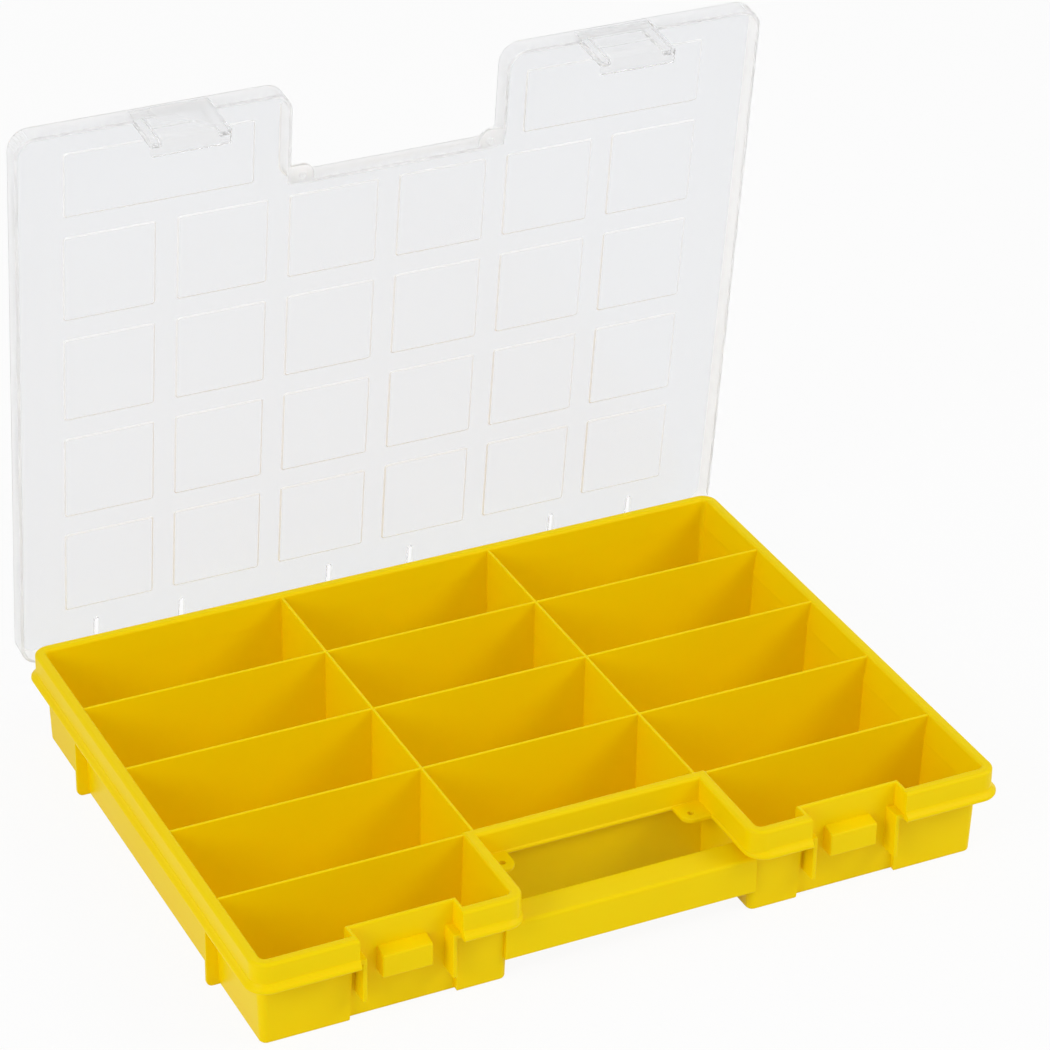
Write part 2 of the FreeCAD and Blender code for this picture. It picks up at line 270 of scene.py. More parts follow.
def baseOutline(name, side, back, front, notch, recess, bayHalf, z):  # plan with the notch and any latch bays
    plate = startPlate(name, -sideX + side, sideX - side, frontY + front, backY - back, z)
    cutOut(-notchX - notch, notchX + notch, frontY - beyond, notchY + notch)
    if bayHalf:
        for middle in (-latchX, latchX):
            cutOut(middle - bayHalf, middle + bayHalf, frontY - beyond, recess)
    oneFace()
    return plate


def outerCorner(v):  # the four corners and the two beside the notch
    return abs(v.x) > sideX - 12 or (abs(v.x) < notchX + 8 and v.y < frontY + 20)


rimWall = tray["rimWall"]
rim = baseOutline("rim", 0, 0, 0, 0, recessY, tray["bayHalf"], beadBottom)
roundCorners(outerCorner, tray["rimCorner"], tray["arcSteps"])
closeSlab(rimTop - tray["rimRound"] - beadBottom)
pick("FACE", facing(1))
stepIn(quarterTurn(tray["rimRound"], 5, "up"))
stepIn([(rimWall - 2 * tray["rimRound"], 0)])
stepIn(quarterTurn(tray["rimRound"], 5, "in"))
bpy.ops.mesh.delete(type="ONLY_FACE")
pick("FACE", facing(-1))
stepIn([(rimWall + tray["rimLean"], 0)])
bpy.ops.mesh.delete(type="ONLY_FACE")
pick("EDGE", lambda e: e.is_boundary)
bpy.ops.mesh.bridge_edge_loops()
foot = sideX - rimWall - tray["rimLean"]  # the sides lean further, to run into the walls below
for side in (-1, 1):
    pick("VERT", lambda v: v.co.z < beadBottom + 0.1 and foot - 2.3 < v.co.x * side < foot + 0.1
         and frontY + rimWall < v.co.y < backY - rimWall)
    bpy.ops.transform.translate(value=(-side * tray["sideLean"], 0, 0))
thin = tray["wall"] / rimWall  # the bays have only a plain wall behind them
bayWall = rimWall + 0.8
for middle in (-latchX, latchX):
    for end in (-1, 1):
        edge = middle + end * tray["bayHalf"]
        pick("VERT", lambda v: v.co.y < recessY + bayWall and -0.1 < (v.co.x - edge) * end < bayWall)
        bpy.ops.transform.resize(value=(thin, 1, 1), center_override=(edge, 0, 0))
    pick("VERT", lambda v: -0.1 < v.co.y - recessY < bayWall and abs(v.co.x - middle) < tray["bayHalf"] + 6)
    bpy.ops.transform.resize(value=(1, thin, 1), center_override=(0, recessY, 0))
doneEditing()

wallTop = beadTop - tray["overlap"]
lean = wallTop * tray["draft"]
tub = baseOutline("tub", tray["sideInset"] - lean, tray["backInset"] - lean, tray["frontInset"] - lean,
                  tray["notchInset"] - lean, frontY + tray["recessInset"] - lean, tray["bayHalf"], wallTop)
roundCorners(outerCorner, tray["lowerCorner"], tray["arcSteps"])
straight = 0.4  # the top of the walls stands upright before the draft begins
closeSlab(-straight)
pick("FACE", facing(-1))
stepIn([(lean, wallTop - straight - tray["footRound"])] + quarterTurn(tray["footRound"], 3, "up"))
pick("FACE", facing(1))
depth = wallTop - tray["floor"] - tray["floorRound"]
stepIn([(tray["wall"], 0), (depth * tray["draft"], -depth)])
stepIn([(a, -b) for a, b in quarterTurn(tray["floorRound"], 3, "up")])
doneEditing()
combine(rim, tub, "UNION")

proud = tray["beadProud"]
bead = baseOutline("bead", -proud, -proud, -proud, -tray["notchBead"], 0, 0, beadBottom)
roundCorners(outerCorner, tray["rimCorner"] + proud, tray["arcSteps"])
closeSlab(tray["beadHeight"] - tray["flankFrom"])
pick("FACE", facing(1))
stepIn([(proud * a, (tray["beadFlank"] + tray["flankFrom"]) * b) for a, b in flankSteps])
pick("EDGE", lambda e: max(v.co.z for v in e.verts) < beadBottom + 0.01)
bpy.ops.mesh.bevel(offset=tray["beadRound"], segments=4, affect="EDGES")
for way in (1, -1):
    pick("FACE", largest(way))
    stepIn([(tray["beadBury"], 0)])
    bpy.ops.mesh.delete(type="ONLY_FACE")
pick("EDGE", lambda e: e.is_boundary)
bpy.ops.mesh.bridge_edge_loops()
doneEditing()
gaps = []
for middle in (-latchX, latchX):
    gapHalf = tray["bayHalf"] + 0.05
    gaps.append(startBlock("gap", (middle - gapHalf, frontY - beyond, beadBottom - 2),
                           (middle + gapHalf, recessY + 6, beadTop + 4)))
    doneEditing()
for hinge in ("left", "middle", "right"):
    earLow, earHigh = nodeBox(hinge + "_hinge_ears")
    gaps.append(startBlock("gap", (earLow.x, backY, beadBottom - 2), (earHigh.x, backY + beyond, beadTop + 4)))
    doneEditing()
combine(bead, gather("gaps", gaps), "DIFFERENCE")
combine(rim, bead, "UNION")
print("rim, walls and bead joined")

# Base: dividers, each let into the walls
dividers = {"foot": 1.05, "top": 0.75, "round": 0.45, "rowDrop": 0.06, "bury": 1.0}
midHeight = 20  # between the feet and the tops of the dividers
rows = [sum(nodeBox("middle_row_divider_%d" % row)[k].y for k in (0, 1)) / 2 for row in (1, 2, 3)]
frontRow = sum(nodeBox("right_front_divider")[k].y for k in (0, 1)) / 2
dividerTop = columnHigh.z


def divider(name, footEnds, topEnds, place, along):  # upright wall with a rounded top, drawn along X
    top = dividerTop - (dividers["rowDrop"] if along == "X" else 0)  # rows a hair lower, so that crossings join cleanly
    wall = startBlock(name, (footEnds[0], -dividers["foot"], tray["floor"] - dividers["bury"]),
                      (footEnds[1], dividers["foot"], top))
    pick("VERT", lambda v: v.co.z > midHeight)
    bpy.ops.transform.resize(value=(1, dividers["top"] / dividers["foot"], 1), center_override=(0, 0, 0))
    for end in (0, 1):
        pick("VERT", lambda v: v.co.z > midHeight and abs(v.co.x - footEnds[end]) < 0.1)
        bpy.ops.transform.translate(value=(topEnds[end] - footEnds[end], 0, 0))
    pick("EDGE", lambda e: min(v.co.z for v in e.verts) > midHeight and abs(e.verts[0].co.x - e.verts[1].co.x) > 10)
    bpy.ops.mesh.bevel(offset=dividers["round"], segments=4, affect="EDGES")
    bpy.ops.mesh.select_all(action="SELECT")
    if along == "Y":
        bpy.ops.transform.rotate(value=-math.pi / 2, orient_axis="Z", center_override=(0, 0, 0))
        bpy.ops.transform.translate(value=(place, 0, 0))
    else:
        bpy.ops.transform.translate(value=(0, place, 0))
    doneEditing()
    return wall


# Ends of the dividers, a little inside the walls at the foot and at the top
sideFoot = sideX - tray["sideInset"] - 1.1
sideTop = sideX - rimWall + 1.1
backFoot = backY - tray["backInset"] - 1.0
backTop = backY - rimWall + 1.6
notchFoot = notchY + tray["notchInset"] + 1.2
notchTop = notchY + rimWall - 1.4
notchFootX = notchX + tray["notchInset"] + 1.2
notchTopX = notchX + rimWall - 1.5
for x in (-notchX, notchX):
    combine(rim, divider("column", (notchFoot, backFoot), (notchTop, backTop), x, "Y"), "UNION")
for y in rows:
    combine(rim, divider("row", (-sideFoot, sideFoot), (-sideTop, sideTop), y, "X"), "UNION")
for side in (-1, 1):
    ends = sorted((side * notchFootX, side * sideFoot)), sorted((side * notchTopX, side * sideTop))
    combine(rim, divider("frontRow", ends[0], ends[1], frontRow, "X"), "UNION")
print("dividers joined")

base = rim
base.name = "baseMoulding"


def softBlock(name, low, high, radius, segments=3):  # box with all its edges rounded a little
    block = startBlock(name, low, high)
    bpy.ops.mesh.select_all(action="SELECT")
    bpy.ops.mesh.bevel(offset=radius, segments=segments, affect="EDGES")
    doneEditing()
    return block


# Base: carrying handle, an inverted channel across the notch
handle = {"wall": 2.5, "lip": 9.0, "frontRound": 1.5, "edgeRound": 0.7, "reach": 62.0}
handleLow, handleHigh = nodeBox("carry_handle")
bar = startBlock("handle", (-handle["reach"], handleLow.y, handleHigh.z - handle["wall"]),
                 (handle["reach"], handleHigh.y, handleHigh.z))
for y in (handleLow.y + handle["wall"], handleHigh.y - handle["wall"]):
    bpy.ops.mesh.select_all(action="SELECT")
    bpy.ops.mesh.bisect(plane_co=(0, y, 0), plane_no=(0, 1, 0))
pick("FACE", lambda f: f.normal.z < -0.9 and f.calc_center_median().y < handleLow.y + handle["wall"])
pull(handleLow.z - handleHigh.z + handle["wall"])
pick("FACE", lambda f: f.normal.z < -0.9 and f.calc_center_median().y > handleHigh.y - handle["wall"])
pull(handle["wall"] - handle["lip"])
pick("EDGE", lambda e: abs(e.verts[0].co.x - e.verts[1].co.x) > 50 and e.calc_face_angle(0) > 1
     and max(v.co.z for v in e.verts) > handleHigh.z - 0.1)
bpy.ops.mesh.bevel(offset=handle["frontRound"], segments=5, affect="EDGES")
pick("EDGE", lambda e: abs(e.verts[0].co.x - e.verts[1].co.x) > 50 and e.calc_face_angle(0) > 1)
bpy.ops.mesh.bevel(offset=handle["edgeRound"], segments=3, affect="EDGES")
doneEditing()
combine(base, bar, "UNION")

# Base: latch catches between guard fins, side ribs and seal lugs, drawn on the right and mirrored
station = {"catchSlope": 1.8, "catchRound": 0.8, "finWidth": 2.0, "finRound": 0.5, "shelfRound": 0.45, "bury": 0.7,
           "hair": 0.02}  # keeps the faces of joined blocks out of one plane
ribs = {"cornerRound": 3.0, "edgeRound": 0.4, "bury": 1.0, "wallBury": 0.5}
lug = {"holeRadius": 1.6, "corner": 5.4, "edgeRound": 0.35, "holeX": 47.1, "holeY": -97.8, "bury": 1.0,
       "lidReach": 5.5, "lidBury": 0.8, "lidHeight": 2.0}


def sealLug(low, high):  # tab with one rounded corner and a hole
    tab = startPlate("lug", low[0], high[0], low[1], high[1], low[2])
    roundCorners(lambda v: v.x < low[0] + 0.1 and v.y < low[1] + 0.1, lug["corner"], 10)
    closeSlab(high[2] - low[2])
    pick("EDGE", lambda e: abs(e.verts[0].co.z - e.verts[1].co.z) < 0.01)
    bpy.ops.mesh.bevel(offset=lug["edgeRound"], segments=2, affect="EDGES")
    doneEditing()
    hole = startRod("hole", lug["holeRadius"], (lug["holeX"], lug["holeY"], low[2] - 2),
                    (lug["holeX"], lug["holeY"], high[2] + 2), "Z")
    doneEditing()
    combine(tab, hole, "DIFFERENCE")
    return tab


rightPieces = []
bury = station["bury"]
catch = startBlock("catch", catchLow, (catchHigh.x, catchHigh.y + bury, catchHigh.z))
pick("VERT", lambda v: v.co.z > catchHigh.z - 0.1 and v.co.y < catchLow.y + 0.1)
bpy.ops.transform.translate(value=(0, 0, -station["catchSlope"]))
pick("EDGE", lambda e: min(v.co.y for v in e.verts) < catchLow.y + 0.1)
bpy.ops.mesh.bevel(offset=station["catchRound"], segments=4, affect="EDGES")
doneEditing()
rightPieces.append(catch)
for place in ("outer", "inner"):
    low, high = nodeBox("right_%s_latch_guard" % place)
    outwards = -1 if place == "inner" else 1
    finX = high.x if place == "inner" else low.x  # side of the fin that faces the catch
    finX0, finX1 = sorted((finX, finX + outwards * station["finWidth"]))
    edgeX = latchX + outwards * (tray["bayHalf"] + bury)
    shelfX0, shelfX1 = sorted((edgeX, (finX0 + finX1) / 2))
    rightPieces.append(softBlock("fin", (finX0, low.y, low.z), (finX1, high.y + bury, high.z), station["finRound"]))
    hair = station["hair"]
    rightPieces.append(softBlock("shelf", (shelfX0, low.y + hair, beadBottom + hair),
                                 (shelfX1, high.y + bury, high.z - hair), station["shelfRound"]))
for place in ("front", "back"):
    low, high = nodeBox("right_%s_side_rib" % place)
    rib = startBlock("rib", (sideX - tray["sideInset"] - ribs["wallBury"], low.y, low.z),
                     (high.x, high.y, high.z + ribs["bury"]))
    pick("EDGE", lambda e: min(v.co.x for v in e.verts) > high.x - 0.1 and max(v.co.z for v in e.verts) < 1)
    bpy.ops.mesh.bevel(offset=ribs["cornerRound"], segments=6, affect="EDGES")
    pick("EDGE", lambda e: e.calc_face_angle(0) > 1 and max(v.co.x for v in e.verts) > high.x - 4)
    bpy.ops.mesh.bevel(offset=ribs["edgeRound"], segments=2, affect="EDGES")
    doneEditing()
    rightPieces.append(rib)
low, high = nodeBox("right_base_lug")
rightPieces.append(sealLug(low, (notchX + lug["bury"], notchY + lug["bury"], high.z)))
for piece in rightPieces:
    combine(base, mirrored(piece, piece.name), "UNION")
    combine(base, piece, "UNION")

# Base: hinge ears with a pin between them
hinges = {"earRound": 2.8, "earWidth": 2.0, "edgeRound": 0.3, "earBury": 1.5, "pinRadius": 1.5, "pinBury": 1.0}
pinMiddles = {}
for place in ("left", "middle", "right"):
    low, high = nodeBox(place + "_hinge_ears")
    pinLow, pinHigh = nodeBox(place + "_hinge_pin")
    pinMiddles[place] = (pinLow + pinHigh) / 2
    for x in (low.x, high.x - hinges["earWidth"]):
        ear = startBlock("ear", (x, backY - hinges["earBury"], low.z), (x + hinges["earWidth"], high.y, high.z))
        pick("EDGE", lambda e: min(v.co.y for v in e.verts) > high.y - 0.1
             and abs(e.verts[0].co.z - e.verts[1].co.z) < 0.1)
        bpy.ops.mesh.bevel(offset=hinges["earRound"], segments=8, affect="EDGES")
        pick("EDGE", lambda e: e.calc_face_angle(0) > 1 and min(v.co.y for v in e.verts) > backY)
        bpy.ops.mesh.bevel(offset=hinges["edgeRound"], segments=2, affect="EDGES")
        doneEditing()
        combine(base, ear, "UNION")
    middle = pinMiddles[place]
    pin = startRod("pin", hinges["pinRadius"], (pinLow.x - hinges["pinBury"], middle.y, middle.z),
                   (pinHigh.x + hinges["pinBury"], middle.y, middle.z), "X")
    doneEditing()
    combine(base, pin, "UNION")
print("handle, catches, fins, ribs, lugs and hinges joined")
bodies = frame["record"]["behaviour"]["bodies"]
finishPiece(base, "base", bodies["base"])

# Lid: plate with its skirt, drawn shut
lid = {"side": 185.0, "front": -142.7, "rear": 147.7, "notchX": 53.3, "notchY": -95.3, "top": 50.6, "plate": 1.8,
       "depth": 10.2, "skirt": 1.5, "corner": 10.0, "notchCorner": 6.0, "edgeRound": 1.1, "innerRound": 1.0,
       "skirtDraft": 0.15, "skirtLip": 0.2, "openAngle": 83.3}
skirtBottom = lid["top"] - lid["depth"]
plateBottom = lid["top"] - lid["plate"]
hinge = pinMiddles["middle"]
shell = startPlate("lidMoulding", -lid["side"], lid["side"], lid["front"], lid["rear"], skirtBottom)
cutOut(-lid["notchX"], lid["notchX"], lid["front"] - beyond, lid["notchY"])
oneFace()
roundCorners(lambda v: abs(v.x) > lid["side"] - 1 or v.y < lid["front"] + 1, lid["corner"], 10)
roundCorners(lambda v: abs(v.y - lid["notchY"]) < 0.1, lid["notchCorner"], 8)
closeSlab(lid["depth"] - lid["edgeRound"])
pick("FACE", facing(1))
stepIn(quarterTurn(lid["edgeRound"], 4, "up"))
pick("FACE", facing(-1))
stepIn([(lid["skirtLip"], 0.0), (lid["skirt"] - lid["skirtLip"], 0.0),
        (lid["skirtDraft"], lid["innerRound"] + lid["plate"] - lid["depth"])])
stepIn([(a, -b) for a, b in quarterTurn(lid["innerRound"], 4, "up")])
doneEditing()

# Lid: raised panels on its inner face, one panel copied over the grid
panels = {"size": 45.0, "pitch": 55.0, "columns": 6, "rows": 4, "lastY": 104.2, "corner": 1.8, "rise": 0.5,
          "slope": 0.9, "bury": 0.04, "depth": 0.6, "earX": (67.6, 159.7), "earY": (-127.0, -93.3)}
slopeSteps = ((0.2, 0.06), (0.2, 0.24), (0.2, 0.4), (0.2, 0.24), (0.2, 0.06))  # shares of the slope and the rise


def raisedPanel(x0, x1, y0, y1):
    panel = startPlate("panel", x0, x1, y0, y1, plateBottom + panels["bury"])
    roundCorners(lambda v: True, panels["corner"], 6)
    closeSlab(panels["depth"])
    pick("FACE", facing(-1))
    rise = panels["rise"] + panels["bury"]
    stepIn([(panels["slope"] * a, rise * b) for a, b in slopeSteps])
    doneEditing()
    return panel


firstX = -panels["pitch"] * (panels["columns"] - 1) / 2
half = panels["size"] / 2
onePanel = raisedPanel(firstX - half, firstX + half, panels["lastY"] - half, panels["lastY"] + half)
grid = [onePanel]
for row in range(panels["rows"]):
    for column in range(panels["columns"]):
        if row or column:
            grid.append(copyOf(onePanel, "panel", (column * panels["pitch"], -row * panels["pitch"], 0)))
earPanel = raisedPanel(panels["earX"][0], panels["earX"][1], panels["earY"][0], panels["earY"][1])
grid += [earPanel, mirrored(earPanel, "panel")]
combine(shell, gather("panels", grid), "UNION")

# Lid: slits beside the hinges and windows for the latch tabs
openings = {"slitHalf": 1.3, "slitLength": 12.0, "slitRound": 1.25, "windowHalf": 19.2, "earSpacing": 43.8}
cuts = []
for middle in pinMiddles.values():
    for side in (-1, 1):
        x = middle.x + side * openings["earSpacing"] / 2
        slit = startBlock("slit", (x - openings["slitHalf"], lid["rear"] - openings["slitLength"], skirtBottom - 2),
                          (x + openings["slitHalf"], lid["rear"] + 2, lid["top"] + 2))
        pick("EDGE", lambda e: abs(e.verts[0].co.z - e.verts[1].co.z) > 5 and e.verts[0].co.y < lid["rear"])
        bpy.ops.mesh.bevel(offset=openings["slitRound"], segments=4, affect="EDGES")
        doneEditing()
        cuts.append(slit)
for middle in (-latchX, latchX):
    cuts.append(startBlock("window", (middle - openings["windowHalf"], lid["front"] - 2, skirtBottom - 2),
                           (middle + openings["windowHalf"], lid["front"] + lid["skirt"] + 0.05, plateBottom + 0.05)))
    doneEditing()
combine(shell, gather("cuts", cuts), "DIFFERENCE")

# Lid: snap clips for the hinge pins, lugs, and small grip ridges
clips = {"half": 20.5, "outer": 2.9, "bore": 1.57, "mouthHalf": 1.2, "mouthDepth": 8, "cutHalf": 30, "webEase": 0.05,
         "webBury": 2.0}
ridges = {"radius": 0.45, "innerRadius": 0.4, "bury": 0.15, "sides": 12, "foot": 0.6,
          "angles": (18, 29, 40, 50, 61, 72), "besideTab": (21.4, 23.4, 25.4)}
clip = startRod("clip", clips["outer"], (-clips["half"], hinge.y, hinge.z), (clips["half"], hinge.y, hinge.z), "X")
doneEditing()
web = startBlock("web", (-clips["half"], lid["rear"] - lid["skirt"] + clips["webEase"], hinge.z),
                 (clips["half"], lid["rear"] - clips["webEase"], skirtBottom + clips["webBury"]))
doneEditing()
combine(clip, web, "UNION")
cutHalf = clips["cutHalf"]
bore = startRod("bore", clips["bore"], (-cutHalf, hinge.y, hinge.z), (cutHalf, hinge.y, hinge.z), "X")
doneEditing()
combine(clip, bore, "DIFFERENCE")
mouth = startBlock("mouth", (-cutHalf, hinge.y - clips["mouthHalf"], hinge.z - clips["mouthDepth"]),
                   (cutHalf, hinge.y + clips["mouthHalf"], hinge.z))
doneEditing()
combine(clip, mouth, "DIFFERENCE")
for place in ("left", "right"):
    combine(shell, copyOf(clip, "clip", (pinMiddles[place].x, 0, 0)), "UNION")
combine(shell, clip, "UNION")
lidLug = sealLug((lug["holeX"] - lug["lidReach"], lug["holeY"] - lug["lidReach"], skirtBottom + 0.04),
                 (lid["notchX"] + lug["lidBury"], lid["notchY"] + lug["lidBury"], skirtBottom + lug["lidHeight"]))
combine(shell, mirrored(lidLug, "lug"), "UNION")
combine(shell, lidLug, "UNION")
grips = []
for angle in ridges["angles"]:
    reach = lid["corner"] - ridges["bury"]
    x = lid["side"] - lid["corner"] + reach * math.cos(math.radians(angle))
    y = lid["front"] + lid["corner"] - reach * math.sin(math.radians(angle))
    grips.append(startRod("grip", ridges["radius"], (x, y, skirtBottom + ridges["foot"]), (x, y, lid["top"] - 1.4),
                          "Z", ridges["sides"]))
    doneEditing()
for away in ridges["besideTab"]:
    for side in (-1, 1):
        x = latchX + side * away
        y = lid["front"] + lid["skirt"] + 0.1
        grips.append(startRod("grip", ridges["innerRadius"], (x, y, skirtBottom + ridges["foot"]),
                              (x, y, plateBottom - 0.8), "Z", ridges["sides"]))
        doneEditing()
grips += [mirrored(grip, "grip") for grip in grips]
combine(shell, gather("grips", grips), "UNION")
print("lid joined")
openTurn = -math.radians(lid["openAngle"])
finishPiece(shell, "lid", bodies["lid"], openTurn, hinge)

# Latch tabs: a plate in line with the skirt, two ribs, a hook bar and fine ridges across
tab = {"half": 18.8, "bottom": 19.1, "top": 48.5, "ribWidth": 5.0, "ribRise": 2.5, "ribDrop": 2.5,
       "hookReach": -135.3, "hookHeight": 2.5, "hookRound": 0.5, "edgeRound": 0.35, "ridgeRise": 0.5, "ridgeHalf": 0.6,
       "ridgeRound": 0.4, "ridgeEnd": 2.0, "ridges": (33.5, 42.6, 44.6), "bury": 0.4, "ridgeBury": 0.6}
plateY = lid["front"] + lid["skirt"]
latch = softBlock("latchTab", (latchX - tab["half"], lid["front"], tab["bottom"]),
                  (latchX + tab["half"], plateY, tab["top"]), tab["edgeRound"])
extras = []
for side in (-1, 1):
    x0, x1 = sorted((latchX + side * (tab["half"] - 0.02), latchX + side * (tab["half"] - tab["ribWidth"])))
    extras.append(softBlock("rib", (x0, lid["front"] + tab["bury"], tab["bottom"] + 0.02),
                            (x1, plateY + tab["ribRise"], tab["top"] - tab["ribDrop"]), tab["edgeRound"]))
hookHalf = tab["half"] - 0.04
extras.append(softBlock("hook", (latchX - hookHalf, lid["front"] + tab["bury"], tab["bottom"] + 0.04),
                        (latchX + hookHalf, tab["hookReach"], tab["bottom"] + tab["hookHeight"]), tab["hookRound"]))
ridgeLength = tab["half"] - tab["ridgeEnd"]
for z in tab["ridges"]:
    extras.append(softBlock("ridge", (latchX - ridgeLength, lid["front"] + tab["ridgeBury"], z - tab["ridgeHalf"]),
                            (latchX + ridgeLength, plateY + tab["ridgeRise"], z + tab["ridgeHalf"]), tab["ridgeRound"]))
for extra in extras:
    combine(latch, extra, "UNION")
leftLatch = mirrored(latch, "leftLatchTab")
latch.name = "rightLatchTab"
finishPiece(latch, "right_latch", ["right_latch_tab"], openTurn, hinge)
finishPiece(leftLatch, "left_latch", ["left_latch_tab"], openTurn, hinge)


def toLinear(colour):
    parts = [int(colour[k:k + 2], 16) / 255 for k in (1, 3, 5)]
    return [c / 12.92 if c < 0.04045 else ((c + 0.055) / 1.055) ** 2.4 for c in parts] + [1.0]


def addNode(tree, kind, settings={}, links={}):
    node = tree.nodes.new(kind)
    for name, value in settings.items():
        if name in node.inputs:
            node.inputs[name].default_value = value
        else:
            setattr(node, name, value)
    for name, source in links.items():
        tree.links.new(source, node.inputs[name])
    return node


def newMaterial(name):
    material = bpy.data.materials.new(name)
    material.use_nodes = True
    material.node_tree.nodes.clear()
    return material


def finishMaterial(material, shader, pieces):
    addNode(material.node_tree, "ShaderNodeOutputMaterial", {}, {"Surface": shader.outputs[0]})
    for piece in pieces:
        piece.data.materials.append(material)


# Injection-moulded polypropylene: a satin sheen, warm where it lights itself, faint flow clouds, a fine eroded grain
yellow = {"colour": "#FDDE00", "cloud": "#FAD700", "cloudSize": 70, "grainSize": 1.1, "grainDepth": 0.03,
          "grainStrength": 0.15, "rough": (0.36, 0.44), "index": 1.49, "sheen": 0.08, "glow": 0.2,
          "glowRadius": (1.0, 0.6, 0.05), "glowReach": 0.003}
satin = newMaterial("mouldedPolypropyleneYellow")
tree = satin.node_tree
place = addNode(tree, "ShaderNodeTexCoord")
cloud = addNode(tree, "ShaderNodeTexNoise", {"Scale": 1000 / yellow["cloudSize"], "Detail": 3.0},
                {"Vector": place.outputs["Object"]})
grain = addNode(tree, "ShaderNodeTexNoise", {"Scale": 1000 / yellow["grainSize"], "Detail": 2.0},
                {"Vector": place.outputs["Object"]})  # real grain is about 0.1 mm, drawn coarser to show
tint = addNode(tree, "ShaderNodeMix", {"data_type": "RGBA"}, {"Factor": cloud.outputs["Fac"]})
tint.inputs[6].default_value = toLinear(yellow["colour"])
tint.inputs[7].default_value = toLinear(yellow["cloud"])
rough = addNode(tree, "ShaderNodeMapRange", {"To Min": yellow["rough"][0], "To Max": yellow["rough"][1]},
                {"Value": cloud.outputs["Fac"]})
bump = addNode(tree, "ShaderNodeBump", {"Strength": yellow["grainStrength"], "Distance": yellow["grainDepth"] / 1000},
               {"Height": grain.outputs["Fac"]})
shader = addNode(tree, "ShaderNodeBsdfPrincipled",
                 {"IOR": yellow["index"], "Specular IOR Level": yellow["sheen"], "Subsurface Weight": yellow["glow"],
                  "Subsurface Radius": yellow["glowRadius"], "Subsurface Scale": yellow["glowReach"]},
                 {"Base Color": tint.outputs[2], "Roughness": rough.outputs[0], "Normal": bump.outputs[0]})
finishMaterial(satin, shader, [base])

# Clear moulded plastic: slightly grey, with faint flow lines in the gloss; the real index of 1.49 drew dark edges
clear = {"colour": "#F3F4F6", "grainSize": 90, "detail": 4.0, "rough": (0.2, 0.26), "through": 0.95, "index": 1.2}
# Its panel edges: painted highlight, a whiter and mostly diffuse copy of the plastic that draws a fine pale line round
# each raised panel
paintedPanelHighlight = {"colour": "#FDFDFD", "grainSize": 1.5, "detail": 2.0, "rough": (0.4, 0.55), "through": 0.25, "index": 1.2}
# Its skirt: painted glow, a whiter and rougher copy standing in for the light that runs along the plastic there as a
# soft white band
paintedSkirtGlow = {"colour": "#FEFEFE", "grainSize": 90, "detail": 4.0, "rough": (0.4, 0.5), "through": 0.85, "index": 1.12}
# Its tabs: painted light, a whiter copy with a lower index so that they stay pale where several walls stand behind each
# other and would shade them
paintedPaleTabs = {"colour": "#FCFCFC", "grainSize": 90, "detail": 4.0, "rough": (0.24, 0.3), "through": 0.94, "index": 1.12}


def clearPlastic(name, finish, pieces):
    material = newMaterial(name)
    tree = material.node_tree
    place = addNode(tree, "ShaderNodeTexCoord")
    flow = addNode(tree, "ShaderNodeTexNoise", {"Scale": 1000 / finish["grainSize"], "Detail": finish["detail"]},
                   {"Vector": place.outputs["Object"]})
    rough = addNode(tree, "ShaderNodeMapRange", {"To Min": finish["rough"][0], "To Max": finish["rough"][1]},
                    {"Value": flow.outputs["Fac"]})
    shader = addNode(tree, "ShaderNodeBsdfPrincipled",
                     {"Base Color": toLinear(finish["colour"]), "IOR": finish["index"],
                      "Transmission Weight": finish["through"]},
                     {"Roughness": rough.outputs[0]})
    finishMaterial(material, shader, pieces)


clearPlastic("mouldedClearPlastic", clear, [shell])
clearPlastic("mouldedClearPlasticPaintedHighlight", paintedPanelHighlight, [shell])
clearPlastic("mouldedClearPlasticPaintedGlow", paintedSkirtGlow, [shell])
clearPlastic("mouldedClearPlasticPaintedPale", paintedPaleTabs, [latch, leftLatch])
lidFaces = {"steep": 0.2, "flat": 0.999, "panelX": 170.0, "panelY": 130.0, "skirtFrom": 1.5}
plateFace = Vector((0, -math.sin(openTurn), math.cos(openTurn)))  # normal of the opened plate
# Painted light on the lid: the skirt and steep faces take the painted glow, the sloped panel edges the painted
# highlight
for face in shell.data.polygons:
    shut = Matrix.Rotation(-openTurn, 4, "X") @ (face.center * 1000 - hinge) + hinge
    slope = abs(face.normal.dot(plateFace))
    under = plateBottom - shut.z
    if under > lidFaces["skirtFrom"] or slope < lidFaces["steep"]:
        face.material_index = 2  # painted glow on the skirt and steep faces
    elif (0.01 < under < panels["rise"] + 0.1 and slope < lidFaces["flat"]
          and abs(shut.x) < lidFaces["panelX"] and abs(shut.y) < lidFaces["panelY"]):
        face.material_index = 1  # painted highlight on the sloped panel edges

# White studio: camera, glossy and transmission rays see plain white, the floor keeps a soft shadow
studio = {"skyLight": 0.54, "floorShadow": 0.08, "floorSize": 14, "floorDrop": 0.0002, "paper": "#F2F2F2"}
world = bpy.data.worlds.new("studio")
bpy.context.scene.world = world
world.use_nodes = True
tree = world.node_tree
tree.nodes.clear()


def seenWhite(tree):  # 1 for the rays that show the background
    path = addNode(tree, "ShaderNodeLightPath")
    both = addNode(tree, "ShaderNodeMath", {"operation": "MAXIMUM"})
    tree.links.new(path.outputs["Is Camera Ray"], both.inputs[0])
    tree.links.new(path.outputs["Is Glossy Ray"], both.inputs[1])
    every = addNode(tree, "ShaderNodeMath", {"operation": "MAXIMUM"})
    tree.links.new(both.outputs[0], every.inputs[0])
    tree.links.new(path.outputs["Is Transmission Ray"], every.inputs[1])
    return every.outputs[0]


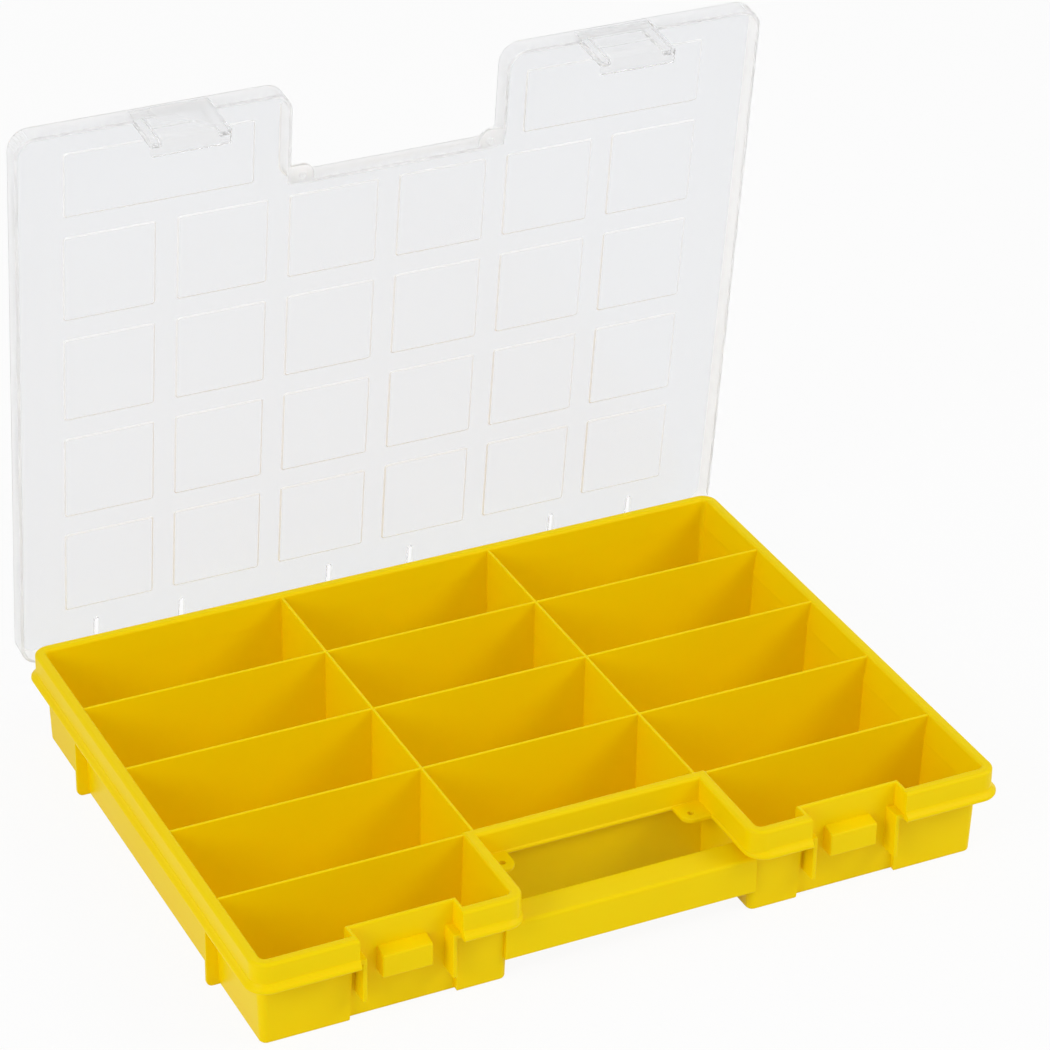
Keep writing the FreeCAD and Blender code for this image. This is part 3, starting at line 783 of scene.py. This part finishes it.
strength = addNode(tree, "ShaderNodeMapRange", {"To Min": studio["skyLight"], "To Max": 1.0},
                   {"Value": seenWhite(tree)})
sky = addNode(tree, "ShaderNodeBackground", {"Color": (1, 1, 1, 1)}, {"Strength": strength.outputs[0]})
addNode(tree, "ShaderNodeOutputWorld", {}, {"Surface": sky.outputs[0]})

bpy.ops.object.select_all(action="DESELECT")
bpy.ops.mesh.primitive_plane_add(size=studio["floorSize"], location=(0, 0, -studio["floorDrop"]))
floor = bpy.context.object
floor.name = "floor"
paper = newMaterial("whitePaperFloor")
tree = paper.node_tree
paperWhite = addNode(tree, "ShaderNodeEmission", {"Color": (1, 1, 1, 1), "Strength": 1.0})
paperShade = addNode(tree, "ShaderNodeBsdfDiffuse", {"Color": toLinear(studio["paper"])})
seen = addNode(tree, "ShaderNodeMath", {"operation": "MULTIPLY"})
tree.links.new(seenWhite(tree), seen.inputs[0])
seen.inputs[1].default_value = 1 - studio["floorShadow"]
paperMix = addNode(tree, "ShaderNodeMixShader", {}, {"Fac": seen.outputs[0]})
tree.links.new(paperShade.outputs[0], paperMix.inputs[1])
tree.links.new(paperWhite.outputs[0], paperMix.inputs[2])
finishMaterial(paper, paperMix, [floor])

lamps = {"key": {"place": (1.5, -1.0, 1.4), "size": 1.0, "energy": 14},
         "fill": {"place": (-1.9, -0.8, 1.2), "size": 1.0, "energy": 16}}
aim = Vector((0, 0, 0.05))
for name, lamp in lamps.items():
    light = bpy.data.objects.new(name, bpy.data.lights.new(name, "AREA"))
    light.data.energy = lamp["energy"]
    light.data.size = lamp["size"]
    light.location = lamp["place"]
    light.rotation_euler = (aim - Vector(lamp["place"])).to_track_quat("-Z", "Y").to_euler()
    bpy.context.collection.objects.link(light)

# Camera at the photograph's viewing angle
view = {"place": (-0.6759, -1.4082, 1.0464), "forward": (0.3792, 0.7791, -0.4992),
        "right": (0.9021, -0.4314, 0.0118), "lens": 136.6, "sensor": 36.0, "reach": 50}
camera = bpy.data.objects.new("camera", bpy.data.cameras.new("camera"))
bpy.context.collection.objects.link(camera)
forward = Vector(view["forward"]).normalized()
right = (Vector(view["right"]) - forward * forward.dot(Vector(view["right"]))).normalized()
up = right.cross(forward)
camera.matrix_world = Matrix.Translation(view["place"]) @ Matrix((right, up, -forward)).transposed().to_4x4()
camera.data.sensor_fit = "HORIZONTAL"
camera.data.sensor_width = view["sensor"]
camera.data.lens = view["lens"]
camera.data.clip_end = view["reach"]
bpy.context.scene.camera = camera
bpy.context.scene.view_settings.view_transform = "Standard"
